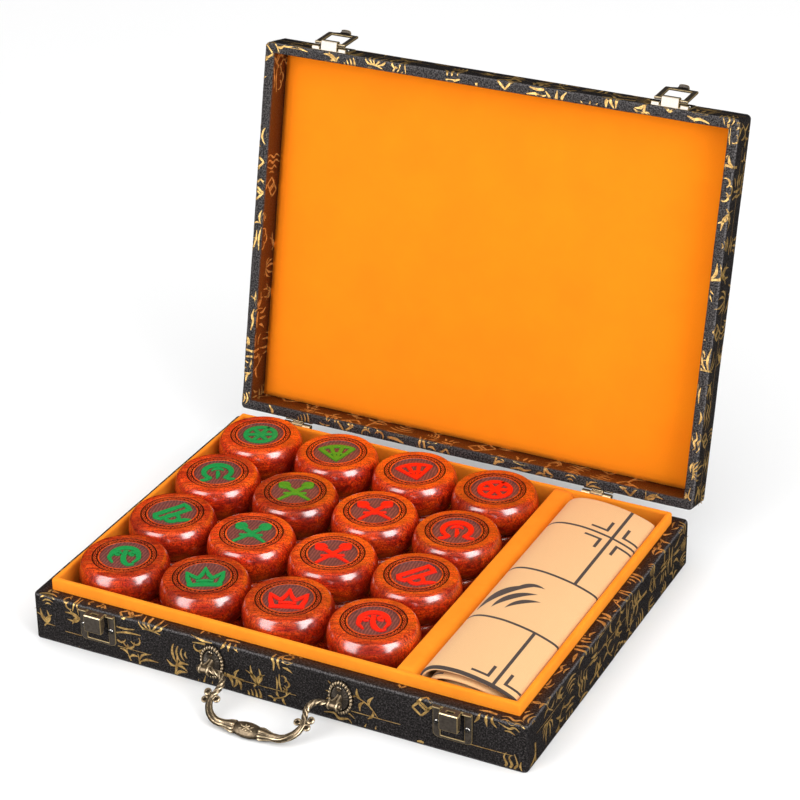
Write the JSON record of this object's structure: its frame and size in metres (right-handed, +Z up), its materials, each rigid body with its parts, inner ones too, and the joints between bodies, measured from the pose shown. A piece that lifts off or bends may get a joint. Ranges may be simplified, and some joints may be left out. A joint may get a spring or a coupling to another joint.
{
  "type": "board game case",
  "caption": "Open hinged games case with hasp latches and a bail handle, holding round turned playing pieces in layers and a folded playing sheet in a side bay.",
  "frame": {"origin": "centre of the base's underside, where the case stands", "axes": "+X to the right along the front, +Y from the front to the hinges, +Z up"},
  "size_m": [0.292, 0.3335, 0.2565],
  "materials": {
    "case_board": "plain sawn board",
    "cover_cloth": "fine-grained black cover with faint gold figures",
    "bay_flannel": "orange brushed flannel",
    "pad_cloth": "orange padded cloth",
    "piece_rosewood": "polished red-brown rosewood",
    "sheet_cloth": "tan woven cloth with dark printed lines",
    "handle_bronze": "antique bronze, dark in the hollows",
    "latch_bronze": "dark bronze with worn bright edges",
    "fitting_brass": "dull brass"
  },
  "bodies": {
    "case_base": {"base_underside_sheet": "cover_cloth", "base_bottom_board": "case_board", "base_long_walls": "case_board", "base_short_walls": "case_board", "base_cover": "cover_cloth", "floor_lining": "bay_flannel", "neck_lining": "bay_flannel", "bay_divider": "bay_flannel", "hinge_base_leaves": "fitting_brass", "hinge_pins": "fitting_brass", "latch_base_plates": "latch_bronze", "handle_rosettes": "handle_bronze", "handle_posts": "handle_bronze", "base_screws": "fitting_brass"},
    "case_lid": {"lid_board": "case_board", "lid_long_walls": "case_board", "lid_short_walls": "case_board", "lid_cover": "cover_cloth", "lid_pad": "pad_cloth", "hinge_lid_leaves": "fitting_brass", "latch_lid_plates": "latch_bronze", "lid_screws": "fitting_brass"},
    "left_ring": {"latch_ring_left": "latch_bronze"},
    "right_ring": {"latch_ring_right": "latch_bronze"},
    "bail": {"handle_bail": "handle_bronze"},
    "sheet_roll": {"playing_sheet": "sheet_cloth"},
    "green_elephant_2_body": {"green_elephant_2": "piece_rosewood"},
    "green_advisor_2_body": {"green_advisor_2": "piece_rosewood"},
    "red_advisor_2_body": {"red_advisor_2": "piece_rosewood"},
    "red_elephant_2_body": {"red_elephant_2": "piece_rosewood"},
    "green_cannon_2_body": {"green_cannon_2": "piece_rosewood"},
    "green_soldier_3_body": {"green_soldier_3": "piece_rosewood"},
    "red_soldier_3_body": {"red_soldier_3": "piece_rosewood"},
    "red_cannon_2_body": {"red_cannon_2": "piece_rosewood"},
    "green_horse_2_body": {"green_horse_2": "piece_rosewood"},
    "green_soldier_4_body": {"green_soldier_4": "piece_rosewood"},
    "red_soldier_4_body": {"red_soldier_4": "piece_rosewood"},
    "red_horse_2_body": {"red_horse_2": "piece_rosewood"},
    "green_chariot_2_body": {"green_chariot_2": "piece_rosewood"},
    "green_soldier_5_body": {"green_soldier_5": "piece_rosewood"},
    "red_soldier_5_body": {"red_soldier_5": "piece_rosewood"},
    "red_chariot_2_body": {"red_chariot_2": "piece_rosewood"},
    "green_elephant_1_body": {"green_elephant_1": "piece_rosewood"},
    "green_general_body": {"green_general": "piece_rosewood"},
    "red_general_body": {"red_general": "piece_rosewood"},
    "red_elephant_1_body": {"red_elephant_1": "piece_rosewood"},
    "green_cannon_1_body": {"green_cannon_1": "piece_rosewood"},
    "green_soldier_2_body": {"green_soldier_2": "piece_rosewood"},
    "red_soldier_2_body": {"red_soldier_2": "piece_rosewood"},
    "red_cannon_1_body": {"red_cannon_1": "piece_rosewood"},
    "green_horse_1_body": {"green_horse_1": "piece_rosewood"},
    "green_soldier_1_body": {"green_soldier_1": "piece_rosewood"},
    "red_soldier_1_body": {"red_soldier_1": "piece_rosewood"},
    "red_horse_1_body": {"red_horse_1": "piece_rosewood"},
    "green_chariot_1_body": {"green_chariot_1": "piece_rosewood"},
    "green_advisor_1_body": {"green_advisor_1": "piece_rosewood"},
    "red_advisor_1_body": {"red_advisor_1": "piece_rosewood"},
    "red_chariot_1_body": {"red_chariot_1": "piece_rosewood"}
  },
  "joints": [
    {"name": "lid_hinge", "type": "hinge", "parent": "case_base", "child": "case_lid", "pos_m": [0, 0.1153, 0.02835], "axis": [1, 0, 0], "range_deg": [0, 102]},
    {"name": "latch_left_swing", "type": "hinge", "parent": "case_lid", "child": "left_ring", "pos_m": [-0.105, 0.16618, 0.25451], "axis": [1, 0, 0], "range_deg": [0, 168]},
    {"name": "latch_right_swing", "type": "hinge", "parent": "case_lid", "child": "right_ring", "pos_m": [0.105, 0.16618, 0.25451], "axis": [1, 0, 0], "range_deg": [0, 168]},
    {"name": "handle_swing", "type": "hinge", "parent": "case_base", "child": "bail", "pos_m": [0.0035, -0.1208, 0.016], "axis": [-1, 0, 0], "range_deg": [0, 129]},
    {"name": "sheet_lift", "type": "slide", "parent": "case_base", "child": "sheet_roll", "axis": [0, 0, -1], "range_m": [-0.06, 0]},
    {"name": "green_elephant_2_lift", "type": "slide", "parent": "case_base", "child": "green_elephant_2_body", "axis": [0, 0, -1], "range_m": [-0.045, 0]},
    {"name": "green_elephant_1_lift", "type": "slide", "parent": "green_elephant_2_body", "child": "green_elephant_1_body", "axis": [0, 0, -1], "range_m": [-0.045, 0]},
    {"name": "green_advisor_2_lift", "type": "slide", "parent": "case_base", "child": "green_advisor_2_body", "axis": [0, 0, -1], "range_m": [-0.045, 0]},
    {"name": "green_general_lift", "type": "slide", "parent": "green_advisor_2_body", "child": "green_general_body", "axis": [0, 0, -1], "range_m": [-0.045, 0]},
    {"name": "red_advisor_2_lift", "type": "slide", "parent": "case_base", "child": "red_advisor_2_body", "axis": [0, 0, -1], "range_m": [-0.045, 0]},
    {"name": "red_general_lift", "type": "slide", "parent": "red_advisor_2_body", "child": "red_general_body", "axis": [0, 0, -1], "range_m": [-0.045, 0]},
    {"name": "red_elephant_2_lift", "type": "slide", "parent": "case_base", "child": "red_elephant_2_body", "axis": [0, 0, -1], "range_m": [-0.045, 0]},
    {"name": "red_elephant_1_lift", "type": "slide", "parent": "red_elephant_2_body", "child": "red_elephant_1_body", "axis": [0, 0, -1], "range_m": [-0.045, 0]},
    {"name": "green_cannon_2_lift", "type": "slide", "parent": "case_base", "child": "green_cannon_2_body", "axis": [0, 0, -1], "range_m": [-0.045, 0]},
    {"name": "green_cannon_1_lift", "type": "slide", "parent": "green_cannon_2_body", "child": "green_cannon_1_body", "axis": [0, 0, -1], "range_m": [-0.045, 0]},
    {"name": "green_soldier_3_lift", "type": "slide", "parent": "case_base", "child": "green_soldier_3_body", "axis": [0, 0, -1], "range_m": [-0.045, 0]},
    {"name": "green_soldier_2_lift", "type": "slide", "parent": "green_soldier_3_body", "child": "green_soldier_2_body", "axis": [0, 0, -1], "range_m": [-0.045, 0]},
    {"name": "red_soldier_3_lift", "type": "slide", "parent": "case_base", "child": "red_soldier_3_body", "axis": [0, 0, -1], "range_m": [-0.045, 0]},
    {"name": "red_soldier_2_lift", "type": "slide", "parent": "red_soldier_3_body", "child": "red_soldier_2_body", "axis": [0, 0, -1], "range_m": [-0.045, 0]},
    {"name": "red_cannon_2_lift", "type": "slide", "parent": "case_base", "child": "red_cannon_2_body", "axis": [0, 0, -1], "range_m": [-0.045, 0]},
    {"name": "red_cannon_1_lift", "type": "slide", "parent": "red_cannon_2_body", "child": "red_cannon_1_body", "axis": [0, 0, -1], "range_m": [-0.045, 0]},
    {"name": "green_horse_2_lift", "type": "slide", "parent": "case_base", "child": "green_horse_2_body", "axis": [0, 0, -1], "range_m": [-0.045, 0]},
    {"name": "green_horse_1_lift", "type": "slide", "parent": "green_horse_2_body", "child": "green_horse_1_body", "axis": [0, 0, -1], "range_m": [-0.045, 0]},
    {"name": "green_soldier_4_lift", "type": "slide", "parent": "case_base", "child": "green_soldier_4_body", "axis": [0, 0, -1], "range_m": [-0.045, 0]},
    {"name": "green_soldier_1_lift", "type": "slide", "parent": "green_soldier_4_body", "child": "green_soldier_1_body", "axis": [0, 0, -1], "range_m": [-0.045, 0]},
    {"name": "red_soldier_4_lift", "type": "slide", "parent": "case_base", "child": "red_soldier_4_body", "axis": [0, 0, -1], "range_m": [-0.045, 0]},
    {"name": "red_soldier_1_lift", "type": "slide", "parent": "red_soldier_4_body", "child": "red_soldier_1_body", "axis": [0, 0, -1], "range_m": [-0.045, 0]},
    {"name": "red_horse_2_lift", "type": "slide", "parent": "case_base", "child": "red_horse_2_body", "axis": [0, 0, -1], "range_m": [-0.045, 0]},
    {"name": "red_horse_1_lift", "type": "slide", "parent": "red_horse_2_body", "child": "red_horse_1_body", "axis": [0, 0, -1], "range_m": [-0.045, 0]},
    {"name": "green_chariot_2_lift", "type": "slide", "parent": "case_base", "child": "green_chariot_2_body", "axis": [0, 0, -1], "range_m": [-0.045, 0]},
    {"name": "green_chariot_1_lift", "type": "slide", "parent": "green_chariot_2_body", "child": "green_chariot_1_body", "axis": [0, 0, -1], "range_m": [-0.045, 0]},
    {"name": "green_soldier_5_lift", "type": "slide", "parent": "case_base", "child": "green_soldier_5_body", "axis": [0, 0, -1], "range_m": [-0.045, 0]},
    {"name": "green_advisor_1_lift", "type": "slide", "parent": "green_soldier_5_body", "child": "green_advisor_1_body", "axis": [0, 0, -1], "range_m": [-0.045, 0]},
    {"name": "red_soldier_5_lift", "type": "slide", "parent": "case_base", "child": "red_soldier_5_body", "axis": [0, 0, -1], "range_m": [-0.045, 0]},
    {"name": "red_advisor_1_lift", "type": "slide", "parent": "red_soldier_5_body", "child": "red_advisor_1_body", "axis": [0, 0, -1], "range_m": [-0.045, 0]},
    {"name": "red_chariot_2_lift", "type": "slide", "parent": "case_base", "child": "red_chariot_2_body", "axis": [0, 0, -1], "range_m": [-0.045, 0]},
    {"name": "red_chariot_1_lift", "type": "slide", "parent": "red_chariot_2_body", "child": "red_chariot_1_body", "axis": [0, 0, -1], "range_m": [-0.045, 0]}
  ]
}
